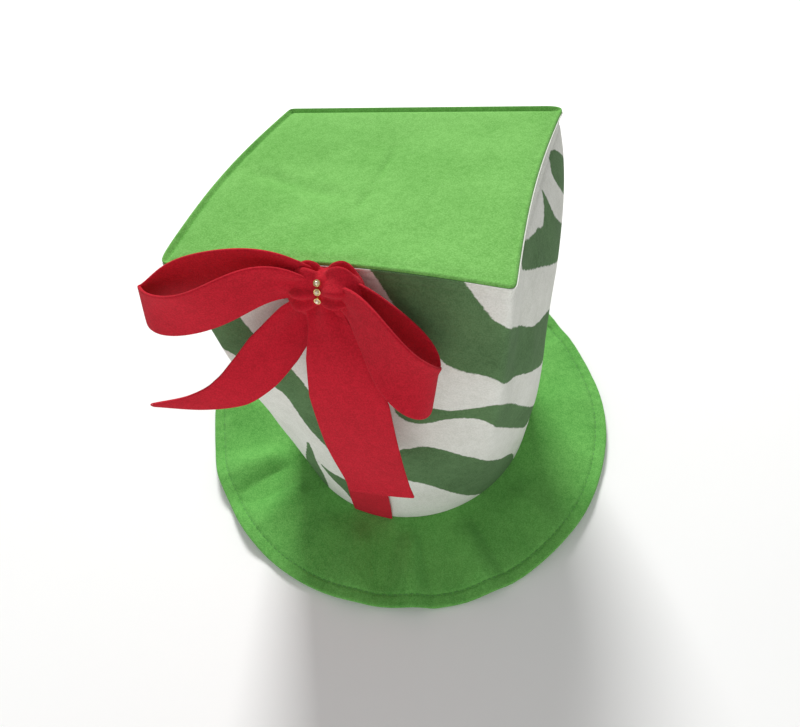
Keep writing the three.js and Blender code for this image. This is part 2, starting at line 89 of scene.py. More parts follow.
# Rings of the brim near its edge: how far each lies in from it
BRIM_RINGS = [
    14, 12.2, 10.8, 9.9, 9.3, 8.8, 8.4, 8.0, 7.6, 7.2, 6.7, 6.1, 5.2, 4.0, 2.8, 1.8, 1.2, 0.7, 0.3, 0.08, 0.0,
]
# Light ridges and hollows of the crown's wall: around, up, wide, tall, push
WALL_CREASES = [
    (0.905, 0.93, 0.012, 0.22, 0.9), (0.945, 0.62, 0.010, 0.2, 0.8), (0.965, 0.85, 0.008, 0.16, 0.7),
    (0.86, 0.55, 0.02, 0.12, -0.7), (0.82, 0.36, 0.03, 0.08, 0.7), (0.93, 0.22, 0.018, 0.16, -0.8),
    (0.79, 0.78, 0.02, 0.2, 0.6), (0.6, 0.6, 0.02, 0.25, 0.8), (0.56, 0.3, 0.03, 0.16, -0.8),
    (0.44, 0.55, 0.015, 0.3, 0.8), (0.3, 0.35, 0.02, 0.25, -0.9), (0.22, 0.7, 0.016, 0.25, 0.8),
    (0.12, 0.45, 0.02, 0.3, 0.7), (0.05, 0.2, 0.025, 0.14, -0.7), (0.105, 0.84, 0.045, 0.22, 2.4),
]
# How the wall's edge turns out under the square top, row by row: inset and drop where the seam
# stands up, inset and drop where it lies flat, where the stripes are read, and the share that the
# row takes in the lip's rise
WALL_EDGE = [
    (1.5, 3.5, 1.5, 2.9, 1.001, 0.6), (0.8, 3.4, 1.2, 2.5, 1.004, 0.8), (0.2, 3.1, 1.0, 2.1, 1.007, 1),
    (0.0, 2.6, 0.95, 1.7, 1.01, 1), (0.2, 2.1, 1.1, 1.35, 1.012, 1), (0.8, 1.95, 1.45, 1.3, 1.015, 0.7),
    (1.8, 2.6, 2.1, 2.2, 1.02, 0), (4.6, 3.4, 4.6, 3.4, 1.03, 0),
]
# Rings of the square top near its edge: how far each lies in from it
TOP_RINGS = np.array([0, 0.5, 1.0, 1.7, 2.4, 3.1, 3.7, 4.2, 4.7, 5.2, 5.8, 6.6, 7.8, 9.4])
# Shallow dents of the square top: x, y, wide, push
TOP_DENTS = [(0, 0, 0.75, -0.7), (-0.5, 0.15, 0.3, -0.7), (-0.1, 0.45, 0.2, -0.5), (0.35, -0.2, 0.4, 0.3)]
# Creases of the square top, each from one place to another: x, y, x, y, wide, push
TOP_CREASES = [
    (-6, 32, -4, -10, 1.9, -2.3), (-4, -10, -7, -42, 2.4, -1.8), (-80, -2, -44, -15, 6, -2.2),
    (-46, -14, -16, -26, 6, -1.7), (38, 40, 54, 8, 5, 0.5),
]
# The bow's ribbons from the knot outwards: x, out, z, wide, lean, tip
LEFT_LOOP = np.array([
    (-0.03, -0.12, 0.0, 0.35, 0, 0), (-0.12, 0.0, 0.06, 0.55, 0, 0), (-0.26, 0.06, 0.1, 0.94, 0, 0),
    (-0.52, 0.06, 0.04, 0.96, 6, 0), (-0.76, 0.1, -0.035, 0.96, 20, 0),
    (-0.9, 0.3, -0.07, 0.98, 40, 0), (-0.99, 0.66, -0.095, 0.98, 58, -2),
    (-0.88, 0.95, -0.09, 0.98, 44, -6), (-0.58, 1.0, 0.0, 0.98, 8, -12),
    (-0.4, 0.78, 0.08, 0.98, 0, -10), (-0.27, 0.44, 0.1, 0.9, 0, 0), (-0.14, 0.2, 0.06, 0.55, 0, 0),
    (-0.03, 0.1, 0.01, 0.35, 0, 0),
])
RIGHT_LOOP = np.array([
    (0.06, -0.12, 0.0, 0.35, 10, 0), (0.24, 0.04, 0.05, 0.55, 15, 0),
    (0.42, 0.14, -0.12, 0.85, 18, 0), (0.64, 0.24, -0.36, 1, 10, 8),
    (0.84, 0.38, -0.57, 1.05, -8, 14), (0.98, 0.7, -0.66, 1.1, -26, 16),
    (0.94, 1.02, -0.58, 1.1, -16, 16), (0.73, 1.08, -0.3, 1.08, 16, 6),
    (0.57, 0.9, -0.1, 1.0, 32, -4), (0.4, 0.6, 0.03, 0.85, 34, -8), (0.24, 0.3, 0.04, 0.55, 20, 0),
    (0.06, 0.12, 0.01, 0.35, 10, 0),
])
LEFT_TAIL = np.array([
    (-0.02, -0.1, -0.07, 0.3, 0, 0), (-0.14, 0.25, -0.18, 0.55, -20, 0),
    (-0.28, 1.0, -0.34, 0.7, -24, 0), (-0.4, 1.6, -0.48, 0.68, -28, 0),
    (-0.53, 2.1, -0.59, 0.6, -22, 0), (-0.72, 2.5, -0.66, 0.36, -14, 0),
    (-0.99, 2.9, -0.69, 0.05, -8, 0),
])
FRONT_TAIL = np.array([
    (-0.005, 0.3, 0.0, 0.4, 90, 0), (0.02, 0.8, -0.06, 0.5, 88, 0), (0.05, 1.4, -0.15, 0.82, 84, 0),
    (0.075, 1.9, -0.31, 1.08, 80, 0), (0.1, 2.3, -0.57, 1.1, 80, 0), (0.13, 2.5, -0.77, 1.04, 82, 0),
    (0.145, 2.6, -0.84, 1.04, 92, 0),
])

# The dark green stripes of the crown's felt, as outlines on the wall: around, up
DARK_STRIPES = [
    [(0.778, 1.03), (0.842, 1.03), (0.844, 1), (0.848, 0.987), (0.853, 0.967), (0.859, 0.94),
     (0.866, 0.92), (0.887, 0.883), (0.91, 0.82), (0.933, 0.753), (0.954, 0.71), (0.975, 0.68),
     (1.0, 0.62), (1.03, 0.52), (1.07, 0.42), (1.12, 0.33), (1.06, 0.36), (1.02, 0.38), (0.997, 0.4),
     (0.97, 0.47), (0.947, 0.542), (0.907, 0.633), (0.88, 0.71), (0.867, 0.75), (0.849, 0.758),
     (0.835, 0.767), (0.824, 0.8), (0.812, 0.833), (0.801, 0.88), (0.793, 0.935), (0.786, 0.97),
     (0.78, 1.0)],
    [(0.785, 0.592), (0.796, 0.558), (0.81, 0.55), (0.824, 0.567), (0.836, 0.575), (0.854, 0.575),
     (0.868, 0.558), (0.897, 0.442), (0.93, 0.3), (0.954, 0.192), (0.99, 0.13), (1.05, 0.11),
     (1.02, 0.16), (0.981, 0.225), (0.96, 0.3), (0.94, 0.392), (0.91, 0.517), (0.89, 0.59),
     (0.874, 0.642), (0.861, 0.625), (0.849, 0.617), (0.833, 0.608), (0.821, 0.617), (0.8, 0.635),
     (0.785, 0.64)],
    [(0.786, 0.433), (0.796, 0.433), (0.806, 0.45), (0.819, 0.442), (0.833, 0.417), (0.85, 0.375),
     (0.867, 0.342), (0.885, 0.28), (0.901, 0.217), (0.919, 0.158), (0.938, 0.08), (0.945, -0.03),
     (0.89, -0.03), (0.863, 0.058), (0.843, 0.125), (0.825, 0.183), (0.808, 0.233), (0.793, 0.25),
     (0.78, 0.28), (0.776, 0.36)],
    [(0.915, 0.96), (0.933, 0.923), (0.95, 0.89), (0.963, 0.87), (0.98, 0.83), (0.994, 0.8),
     (1.02, 0.74), (1.06, 0.68), (1.09, 0.66), (1.06, 0.76), (1.03, 0.84), (1.015, 0.9),
     (1.013, 0.985), (1.004, 0.95), (0.996, 0.937), (0.988, 0.92), (0.975, 0.945), (0.958, 0.957),
     (0.94, 0.98), (0.92, 1.0)],
    [(1.07, 0.985), (1.054, 0.98), (1.043, 0.955), (1.047, 0.92), (1.056, 0.877), (1.075, 0.82),
     (1.1, 0.77), (1.14, 0.72), (1.12, 0.82), (1.09, 0.93)],
    [(0.55, 0.69), (0.573, 0.75), (0.6, 0.81), (0.63, 0.86), (0.655, 0.9), (0.664, 0.877),
     (0.672, 0.807), (0.685, 0.75), (0.698, 0.693), (0.703, 0.663), (0.711, 0.61), (0.718, 0.53),
     (0.724, 0.4), (0.722, 0.26), (0.713, 0.32), (0.707, 0.353), (0.692, 0.427), (0.685, 0.493),
     (0.68, 0.573), (0.668, 0.597), (0.655, 0.65), (0.643, 0.707), (0.62, 0.72), (0.59, 0.69),
     (0.565, 0.66)],
    [(0.672, 0.892), (0.694, 0.917), (0.71, 0.917), (0.72, 0.93), (0.72, 1.03), (0.66, 1.03),
     (0.655, 0.95), (0.66, 0.91)],
    [(0.679, 0.345), (0.6785, 0.263), (0.675, 0.2), (0.679, 0.12), (0.676, 0.03), (0.67, -0.03),
     (0.61, -0.03), (0.63, 0.04), (0.644, 0.1), (0.656, 0.19), (0.665, 0.247)],
    [(0.678, 0.23), (0.682, 0.208), (0.696, 0.187), (0.711, 0.19), (0.724, 0.18), (0.724, 0.02),
     (0.715, 0.033), (0.708, 0.097), (0.695, 0.13), (0.684, 0.185)],
    # The sides that the photograph doesn't show go on in the same way
    [(0.31, 1.03), (0.36, 1.03), (0.4, 0.97), (0.45, 0.94), (0.5, 0.95), (0.55, 0.975), (0.6, 0.965),
     (0.635, 0.94), (0.62, 0.905), (0.57, 0.885), (0.52, 0.87), (0.47, 0.855), (0.42, 0.87),
     (0.38, 0.91), (0.34, 0.97)],
    [(0.27, 0.88), (0.3, 0.9), (0.34, 0.82), (0.38, 0.78), (0.42, 0.79), (0.47, 0.76), (0.51, 0.69),
     (0.545, 0.6), (0.58, 0.51), (0.605, 0.42), (0.62, 0.3), (0.618, 0.18), (0.605, 0.27),
     (0.59, 0.37), (0.56, 0.44), (0.53, 0.49), (0.5, 0.58), (0.46, 0.66), (0.42, 0.68), (0.38, 0.67),
     (0.34, 0.7), (0.3, 0.78)],
    [(0.31, 0.52), (0.33, 0.57), (0.37, 0.54), (0.41, 0.56), (0.45, 0.53), (0.49, 0.44),
     (0.53, 0.33), (0.56, 0.24), (0.59, 0.12), (0.6, 0.02), (0.595, -0.03), (0.56, -0.03),
     (0.545, 0.08), (0.52, 0.2), (0.49, 0.31), (0.45, 0.4), (0.41, 0.42), (0.37, 0.41), (0.34, 0.45)],
    [(0.29, 0.22), (0.33, 0.28), (0.37, 0.29), (0.41, 0.27), (0.45, 0.2), (0.48, 0.1), (0.51, -0.03),
     (0.44, -0.03), (0.42, 0.06), (0.39, 0.13), (0.35, 0.16), (0.31, 0.18)],
    [(0.16, 0.8), (0.2, 0.9), (0.24, 0.86), (0.27, 0.76), (0.3, 0.67), (0.32, 0.6), (0.3, 0.57),
     (0.26, 0.62), (0.22, 0.72), (0.18, 0.75)],
    [(0.18, 0.53), (0.2, 0.6), (0.23, 0.58), (0.26, 0.5), (0.29, 0.42), (0.305, 0.34), (0.27, 0.32),
     (0.24, 0.4), (0.2, 0.46)],
    [(0.12, 0.3), (0.15, 0.4), (0.19, 0.36), (0.23, 0.24), (0.27, 0.12), (0.29, -0.03),
     (0.24, -0.03), (0.2, 0.12), (0.16, 0.25)],
    [(0.04, 0.12), (0.08, 0.22), (0.14, 0.16), (0.19, 0.04), (0.2, -0.03), (0.13, -0.03), (0.1, 0.06)],
    [(0.1, 0.66), (0.15, 0.7), (0.18, 0.62), (0.16, 0.52), (0.1, 0.5), (0.06, 0.54)],
    [(0.17, 1.03), (0.2, 0.96), (0.25, 0.97), (0.26, 1.03)],
]

half_turn = np.pi


def lerp(a, b, t):
    return a + (b - a) * t


def smoothstep(low, high, value):
    t = np.clip((value - low) / (high - low), 0, 1)
    return t * t * (3 - 2 * t)


def bump(distance):
    return np.exp(-np.square(distance))


def apart(a, b):
    return (a - b) - np.round(a - b)


def round_table(rows, column, around):
    """A column of rows set round the hat, read smoothly."""
    share = np.mod(around, 1.0)
    places = np.append(rows[:, 0], 1.0)
    values = np.append(rows[:, column], rows[0, column])
    i = np.clip(np.searchsorted(places, share, side="right") - 1, 0, len(rows) - 1)
    t = (share - places[i]) / (places[i + 1] - places[i])
    return lerp(values[i], values[i + 1], t * t * (3 - 2 * t))


def oval(around, grow):
    angle = 2 * half_turn * around
    return np.stack([(HEAD_HALF_WIDTH + grow) * np.cos(angle), (HEAD_HALF_DEPTH + grow) * np.sin(angle)], -1)


def sharp_square(around, inset):
    share = np.mod(around - 0.125, 1.0) * 4
    side = np.floor(share).astype(int) % 4
    t = share - np.floor(share)
    start, end = CORNERS[side], CORNERS[(side + 1) % 4]
    middle = (start[..., :2] + end[..., :2]) / 2
    bow = start[..., 3] * TOP_SIDE * np.sin(half_turn * t)
    corner_line = lerp(start[..., :2], end[..., :2], t[..., None])
    half = np.broadcast_to(TOP_HALF - inset, np.shape(t))
    return np.array([TOP_SHIFT_X, TOP_SHIFT_Y]) + half[..., None] * corner_line + middle * bow[..., None]


def square(around, inset):
    """The square top's outline with its corners blunted, as turned and pressed felt has them."""
    around = np.asarray(around, float)
    steps = np.linspace(-0.006, 0.006, 7)
    return sum(sharp_square(around + step, inset) for step in steps) / len(steps)


def raised(around):
    """1 along the top's back and left edges, whose seam stands up, and 0 along the other two."""
    share = np.mod(around, 1.0)
    return smoothstep(0.105, 0.145, share) * (1 - smoothstep(0.6, 0.65, share))


def top_height(x, y):
    right = (x - TOP_SHIFT_X) / TOP_SIDE + 0.5
    back = (y - TOP_SHIFT_Y) / TOP_SIDE + 0.5
    back_right, back_left, front_left, front_right = CORNERS[:, 2]
    at_front, at_back = lerp(front_left, front_right, right), lerp(back_left, back_right, right)
    return CROWN_HEIGHT + TOP_SIDE * lerp(at_front, at_back, back)


def wall_point(around, up, depth):
    """A point of the crown's wall. depth is 0 on the outer face."""
    foot = oval(around, CROWN_WALL - depth)
    head = square(around, 1.8 + 2.2 * raised(around) + depth)
    flat = lerp(foot, head, up[..., None])
    held = 1 - np.abs(2 * up - 1) ** 6
    out = CROWN_BULGE * np.sin(half_turn * up)
    for fold_around, fold_up, wide, tall, push in WALL_FOLDS:
        off = np.hypot(apart(around, fold_around) / wide, (up - fold_up) / tall)
        out = out + FOLD_DEPTH * push * held * bump(off)
    flat = flat * (1 + out / np.linalg.norm(flat, axis=-1))[..., None]
    rim = top_height(head[..., 0], head[..., 1]) - TOP_SHEET - GAP
    z = lerp(BRIM_THICKNESS + GAP, rim, up)
    return np.concatenate([flat, z[..., None]], -1)


def round_at_front(x, up, depth):
    low, high = np.full(np.shape(x), 0.64), np.full(np.shape(x), 0.86)
    for _ in range(30):
        middle = (low + high) / 2
        left = wall_point(middle, up, depth)[..., 0] < x
        low, high = np.where(left, middle, low), np.where(left, high, middle)
    return (low + high) / 2


knot_up = np.array(0.96)
knot_wall = wall_point(round_at_front(np.array(KNOT_X), knot_up, -GAP - FELT), knot_up, -GAP - FELT)
knot_middle = np.array([
    KNOT_X,
    sharp_square(np.array(0.75), 0)[1] - KNOT_DEPTH / 2 + KNOT_PRESS,
    top_height(KNOT_X, knot_wall[1]) + KNOT_RISE - 1.2,
])


# Mesh making


def deselect_all():
    for each in bpy.context.selected_objects:
        each.select_set(False)


def take_up(piece):
    """Selects one piece alone and makes it the active one."""
    deselect_all()
    piece.select_set(True)
    bpy.context.view_layer.objects.active = piece


def in_edit_mode(piece, *steps):
    """Runs edit-mode steps on all of a piece."""
    take_up(piece)
    bpy.ops.object.mode_set(mode="EDIT")
    bpy.ops.mesh.select_all(action="SELECT")
    for step in steps:
        step()
    bpy.ops.object.mode_set(mode="OBJECT")


def close_seams():
    bpy.ops.mesh.remove_doubles(threshold=0.00001)
    bpy.ops.mesh.normals_make_consistent(inside=False)


def finish_with(piece, kind, **settings):
    """Adds one modifier and applies it."""
    take_up(piece)
    modifier = piece.modifiers.new(kind.title(), kind)
    for key, value in settings.items():
        setattr(modifier, key, value)
    bpy.ops.object.modifier_apply(modifier=modifier.name)


def cloth(name, places, marks=None, closed=True):
    """A grid of felt laid on places, an array of rows by columns of points in hat millimetres.
    marks holds numbers that the material reads, one for each point."""
    rows, columns = places.shape[:2]
    deselect_all()
    bpy.ops.mesh.primitive_grid_add(
        x_subdivisions=columns - 1, y_subdivisions=rows - 1, size=1, calc_uvs=True
    )
    piece = bpy.context.object
    piece.name = piece.data.name = name
    mesh = piece.data
    flat = np.empty(len(mesh.vertices) * 3, np.float32)
    mesh.vertices.foreach_get("co", flat)
    flat = flat.reshape(-1, 3)
    column = np.rint((flat[:, 0] + 0.5) * (columns - 1)).astype(int)
    row = np.rint((flat[:, 1] + 0.5) * (rows - 1)).astype(int)
    placed = (places[row, column] + HEAD_MIDDLE) * MM
    mesh.vertices.foreach_set("co", placed.astype(np.float32).ravel())
    for key, values in (marks or {}).items():
        mark = mesh.attributes.new(name=key, type="FLOAT", domain="POINT")
        mark.data.foreach_set("value", values[row, column].astype(np.float32))
    mesh.update()
    if closed:
        in_edit_mode(piece, close_seams)
    return piece


def smooth_shaded(piece, degrees):
    take_up(piece)
    bpy.ops.object.shade_smooth_by_angle(angle=np.radians(degrees))


def waver(x, y, seed, size):
    """Soft hand-made unevenness: a few sines that don't repeat within the piece."""
    rng = np.random.default_rng(seed)
    total = 0
    for _ in range(6):
        angle = rng.uniform(0, 2 * half_turn)
        pitch = size * rng.uniform(0.6, 1.6)
        across = x * np.cos(angle) + y * np.sin(angle)
        total = total + np.sin(2 * half_turn * across / pitch + rng.uniform(0, 6.3))
    return total / 6


def waver_round(around, height, seed, size):
    """The same unevenness on the crown's wall, where it has to meet itself."""
    rng = np.random.default_rng(seed)
    total = 0
    for turns in (-9, -6, -3, 4, 7, 11):
        pitch = size * rng.uniform(0.6, 1.6)
        total = total + np.sin(2 * half_turn * (turns * around + height / pitch) + rng.uniform(0, 6.3))
    return total / 6


# Materials


class Wire:
    """A socket on which sums can be written."""

    def __init__(self, finish, socket):
        self.finish, self.socket = finish, socket

    def _with(self, operation, other):
        return self.finish.node("ShaderNodeMath", {"operation": operation}, {0: self, 1: other})

    def __add__(self, other):
        return self._with("ADD", other)

    def __sub__(self, other):
        return self._with("SUBTRACT", other)

    def __mul__(self, other):
        return self._with("MULTIPLY", other)



class Finish:
    """One material and the nodes in it."""

    def __init__(self, name, constants):
        self.material = bpy.data.materials.new(name)
        self.material.use_nodes = True
        self.nodes = self.material.node_tree.nodes
        self.links = self.material.node_tree.links
        self.shader = self.nodes["Principled BSDF"]
        for key, value in constants.items():
            self.shader.inputs[key].default_value = value

    def node(self, kind, settings, values, out=0):
        made = self.nodes.new(kind)
        for key, value in settings.items():
            setattr(made, key, value)
        for key, value in values.items():
            self.feed(made.inputs[key], value)
        return Wire(self, made.outputs[out])

    def feed(self, socket, value):
        if isinstance(value, Wire):
            self.links.new(value.socket, socket)
        else:
            socket.default_value = value

    def noise(self, scale, detail=3.0, roughness=0.55, place=None):
        place = place or self.place()
        return self.node(
            "ShaderNodeTexNoise",
            {},
            {"Vector": place, "Scale": scale, "Detail": detail, "Roughness": roughness},
        )

    def place(self):
        return self.node("ShaderNodeTexCoord", {}, {}, out="Object")

    def stretched_place(self, scale):
        return self.node("ShaderNodeMapping", {}, {"Vector": self.place(), "Scale": scale})

    def mark(self, name):
        return self.node("ShaderNodeAttribute", {"attribute_name": name}, {}, out="Fac")

    def ramped(self, value, low, high):
        return self.node(
            "ShaderNodeMapRange",
            {"interpolation_type": "SMOOTHSTEP", "clamp": True},
            {"Value": value, "From Min": low, "From Max": high},
        )

    def blend(self, share, first, second):
        return self.node("ShaderNodeMix", {"data_type": "RGBA"}, {0: share, 6: first, 7: second}, out=2)

    def colour(self, value):
        self.feed(self.shader.inputs["Base Color"], value)

    def relief(self, height, distance, strength=1.0):
        normal = self.node(
            "ShaderNodeBump", {}, {"Height": height, "Distance": distance, "Strength": strength}
        )
        self.feed(self.shader.inputs["Normal"], normal)


def rgb(red, green, blue):
    """A colour given in the 0 to 255 of a paint chart, in the linear light that sockets take."""
    share = [value / 255 for value in (red, green, blue)]
    return tuple(s / 12.92 if s < 0.04045 else ((s + 0.055) / 1.055) ** 2.4 for s in share) + (1.0,)


def fuzz(finish):
    """The pressed fibres of felt: their relief, and how light each spot is, from 0 to 1."""
    soft = finish.noise(240.0, 4.0, 0.65)
    fibres = finish.noise(1300.0, 3.0, 0.65)
    strands = finish.noise(1.0, 2.0, 0.6, finish.stretched_place((700.0, 2600.0, 1500.0)))
    crossing = finish.noise(1.0, 2.0, 0.6, finish.stretched_place((2600.0, 700.0, 900.0)))
    height = soft * 0.35 + fibres * 0.6 + strands * 0.35 + crossing * 0.35
    light = finish.ramped(soft * 0.2 + fibres * 0.45 + strands * 0.18 + crossing * 0.17, 0.42, 0.58)
    return height, light


SOFT_FELT = {"Roughness": 1.0, "Sheen Weight": 0.04, "Sheen Roughness": 0.7, "Specular IOR Level": 0.08}


def felt(name, dark, light):
    finish = Finish(name, SOFT_FELT)
    height, share = fuzz(finish)
    broad = finish.ramped(finish.noise(22.0, 3.0, 0.5), 0.3, 0.7)
    colour = finish.blend(share * 0.7 + broad * 0.3, dark, light)
    finish.colour(colour)
    finish.relief(height, 0.0004, 0.9)
    return finish.material


def striped_felt(name):
    finish = Finish(name, SOFT_FELT)
    height, share = fuzz(finish)
    edge = finish.mark("stripe") + (finish.noise(420.0, 3.0, 0.6) - 0.5) * 2.4
    inked = finish.ramped(edge, -0.45, 0.45)
    broad = finish.ramped(finish.noise(30.0, 3.0, 0.5), 0.3, 0.7)
    white = finish.blend(share * 0.6 + broad * 0.4, rgb(214, 216, 206), rgb(238, 239, 232))
    green = finish.blend(share * 0.6 + broad * 0.4, rgb(74, 106, 66), rgb(100, 136, 90))
    finish.colour(finish.blend(inked, white, green))
    finish.relief(height, 0.0004, 0.9)
    return finish.material


def thread(name, colour, shade):
    finish = Finish(name, {"Roughness": 0.7, "Sheen Weight": 0.2})
    finish.colour(finish.blend(finish.noise(900.0, 2.0), shade, colour))
    finish.relief(finish.noise(2600.0, 2.0), 0.0001, 0.6)
    return finish.material


def cup_metal(name):
    finish = Finish(name, {"Metallic": 1.0, "Roughness": 0.26})
    finish.colour(finish.blend(finish.noise(700.0, 2.0), rgb(226, 194, 122), rgb(248, 228, 168)))
    finish.relief(finish.noise(1500.0, 2.0), 0.00004, 0.4)
    return finish.material


CLEAR_CUT = {"Roughness": 0.06, "Metallic": 0.35, "Coat Weight": 1.0, "Coat Roughness": 0.03, "IOR": 1.6}


def crystal(name):
    finish = Finish(name, CLEAR_CUT)
    finish.colour(finish.blend(finish.noise(600.0, 1.0), rgb(236, 226, 190), rgb(252, 246, 222)))
    finish.relief(finish.noise(400.0, 1.0), 0.00003, 0.3)
    return finish.material


def plain_floor(name):
    finish = Finish(name, {"Roughness": 0.9, "Specular IOR Level": 0.2})
    finish.colour(finish.blend(finish.noise(3.0, 2.0), rgb(246, 246, 245), rgb(252, 252, 251)))
    return finish.material


top_green = felt("top_green_felt", rgb(99, 164, 72), rgb(133, 197, 104))
brim_green = felt("brim_green_felt", rgb(82, 152, 66), rgb(120, 190, 96))
ribbon_red = felt("ribbon_red_felt", rgb(176, 22, 38), rgb(208, 30, 50))
wall_stripes = striped_felt("striped_crown_felt")
green_thread = thread("green_sewing_thread", rgb(92, 158, 76), rgb(72, 136, 58))
gold_cup = cup_metal("pale_gold_cup")
clear_crystal = crystal("clear_crystal")


def dress(piece, material):
    piece.data.materials.clear()
    piece.data.materials.append(material)
    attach(piece, "root")


# The brim: two felts over foam, sewn together near the edge


def brim_place(around, in_from_edge, side):
    """side is 1 on the upper face and -1 on the lower one."""
    inner = oval(around, 0.0)
    angle = 2 * half_turn * around
    radius = BRIM_RADIUS + BRIM_WOBBLE * round_table(BRIM_WAVES, 2, around)
    outer = np.stack([BRIM_SHIFT_X + radius * np.cos(angle), BRIM_SHIFT_Y + radius * np.sin(angle)], -1)
    length = np.linalg.norm(outer - inner, axis=-1)
    share = 1 - in_from_edge / length
    flat_share = (CROWN_WALL + BRIM_FLAT) / length
    beyond = np.clip((share - flat_share) / (1 - flat_share), 0, 1)
    lift = BRIM_LIFT * round_table(BRIM_WAVES, 1, around) * beyond**1.3
    for start, end, wide, push in BRIM_CREASES:
        held = smoothstep(-0.05, 0.3, beyond) * (1 - 0.45 * smoothstep(0.6, 1.0, beyond))
        lift = lift + push * held * bump(apart(around, lerp(start, end, beyond)) / wide)
    lift = np.maximum(lift, 0)
    flat = lerp(inner, outer, share[..., None])
    edge_round = np.sqrt(np.clip(1 - (1 - np.clip(in_from_edge / 1.8, 0, 1)) ** 2, 0, 1))
    sewn = 0.7 * bump((in_from_edge - BRIM_SEAM) / 1.1)
    edge_thin = lerp(1.5, 2.0, smoothstep(BRIM_SEAM - 2, BRIM_SEAM + 9, in_from_edge))
    puff = np.where(side > 0, 0.35 * waver(flat[..., 0], flat[..., 1], 5, 26.0) * beyond, 0)
    pucker = 0.25 * np.sin(2 * half_turn * around * 96) * bump((in_from_edge - BRIM_SEAM) / 6) * (side > 0)
    pressed = sewn * (1 if side > 0 else 0.4)
    height = BRIM_THICKNESS / 2 + side * (edge_thin * edge_round - pressed) + puff + pucker
    return np.concatenate([flat, np.maximum(lift + height, 0.0)[..., None]], -1)


def make_brim():
    around = np.linspace(0, 1, 481)
    far = np.linspace(1.0, 0.0, 24, endpoint=False)
    rows = []
    for side in (1, -1):
        face = []
        inner = oval(around, 0.0)
        length_edge = np.linalg.norm(brim_place(around, np.zeros_like(around), 1)[..., :2] - inner, axis=-1)
        for share in far:
            face.append(brim_place(around, BRIM_RINGS[0] + (length_edge - BRIM_RINGS[0]) * share, side))
        for distance in BRIM_RINGS:
            face.append(brim_place(around, np.full_like(around, distance), side))
        rows += face if side > 0 else face[::-1]
    rows.append(rows[0])
    piece = cloth("brim_felt", np.array(rows)[:, ::-1])
    smooth_shaded(piece, 60)
    dress(piece, brim_green)
    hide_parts("brim")
    return piece


# The crown's wall, one tube of striped felt whose top edge turns out under the square top's edge

# How far the wall's felt reaches around and up when it is unrolled, with the stripes drawn on it
WALL_UNROLLED = np.array([600.0, 215.0])


def rounded(outline):
    """The outline in millimetres on the unrolled felt, its corners cut twice to a soft drawn line."""
    corners = np.array(outline) * WALL_UNROLLED
    for most in (5.0, 1.5):
        ahead = np.roll(corners, -1, 0)
        share = np.minimum(0.25, most / np.linalg.norm(ahead - corners, axis=1))[:, None]
        corners = np.stack([lerp(corners, ahead, share), lerp(corners, ahead, 1 - share)], 1).reshape(-1, 2)
    return corners


def signed_distance(around, up, outline):
    """How far inside an outline a point of the wall is, in millimetres, negative outside it."""
    corners = rounded(outline)
    best = np.full(around.shape, np.inf)
    inside = np.zeros(around.shape, bool)
    px, py = around * WALL_UNROLLED[0], up * WALL_UNROLLED[1]
    for (ax, ay), (bx, by) in zip(corners, np.roll(corners, -1, 0)):
        run = np.array([bx - ax, by - ay])
        t = np.clip(((px - ax) * run[0] + (py - ay) * run[1]) / (run @ run), 0, 1)
        best = np.minimum(best, np.hypot(px - ax - t * run[0], py - ay - t * run[1]))
        if ay != by:
            crosses = (ay > py) != (by > py)
            inside ^= crosses & (px < (bx - ax) * (py - ay) / (by - ay) + ax)
    return np.where(inside, best, -best)


def stripe_mark(around, up):
    deepest = np.full(around.shape, -30.0)
    for outline in DARK_STRIPES:
        for turn in (-1, 0, 1):
            deepest = np.maximum(deepest, signed_distance(around + turn, up, outline))
    return deepest


def creases(around, up):
    """Light ridges and hollows of the soft wall, in millimetres outwards."""
    total = 0.45 * waver_round(around, up * 215, 11, 60.0) * np.sin(half_turn * np.clip(up, 0, 1))
    for at, high, wide, tall, push in WALL_CREASES:
        total = total + 1.3 * push * bump(np.hypot(apart(around, at) / wide, (up - high) / tall))
    return total * (1 - np.abs(2 * np.clip(up, 0, 1) - 1) ** 8)


def wall_face(around, up, depth):
    places = wall_point(around, up, depth)
    flat = places[..., :2]
    out = creases(around, up) - 0.7 * (1 - raised(around)) * bump((up - 0.981) / 0.004)
    places[..., :2] = flat * (1 + out / np.linalg.norm(flat, axis=-1))[..., None]
    return places


def wall_flange(around, inset, drop, follow):
    """The wall's edge where it lies out flat under the square top's lip. follow is how much of the
    lip's rise it takes part in."""
    flat = square(around, inset)
    z = top_height(flat[..., 0], flat[..., 1]) + LIP_RISE * follow * raised(around) - drop
    return np.concatenate([flat, z[..., None]], -1)


def make_wall():
    around = np.linspace(0, 1, 321)
    rows, marks = [], []
    ups = np.concatenate([np.linspace(0, 0.96, 82), np.linspace(0.9645, 0.999, 11)])
    for up in ups:
        rows.append(wall_face(around, np.full_like(around, up), 0.0))
        marks.append(np.full_like(around, up))
    stands = raised(around)
    for inset, drop, low_inset, low_drop, at, follow in WALL_EDGE:
        turned_out = lerp(low_inset, inset, stands), lerp(low_drop, drop, stands)
        rows.append(wall_flange(around, *turned_out, follow))
        marks.append(np.full_like(around, at))
    for up in ups[::-1][1:]:
        rows.append(wall_face(around, np.full_like(around, up), CROWN_WALL))
        marks.append(np.full_like(around, up))
    rows.append(rows[0])
    marks.append(marks[0])
    places, up = np.array(rows), np.array(marks)
    stripe = stripe_mark(np.broadcast_to(around, up.shape), up)
    inside = np.zeros(up.shape, bool)
    inside[len(ups) + len(WALL_EDGE) - 1:-1] = True
    stripe = np.where(inside, -30.0, stripe)
    piece = cloth("crown_felt", places, {"stripe": stripe})
    smooth_shaded(piece, 60)
    dress(piece, wall_stripes)
    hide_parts("crown_side")
    return piece


# The square top, whose edge stands out past the wall and is sewn down just inside it


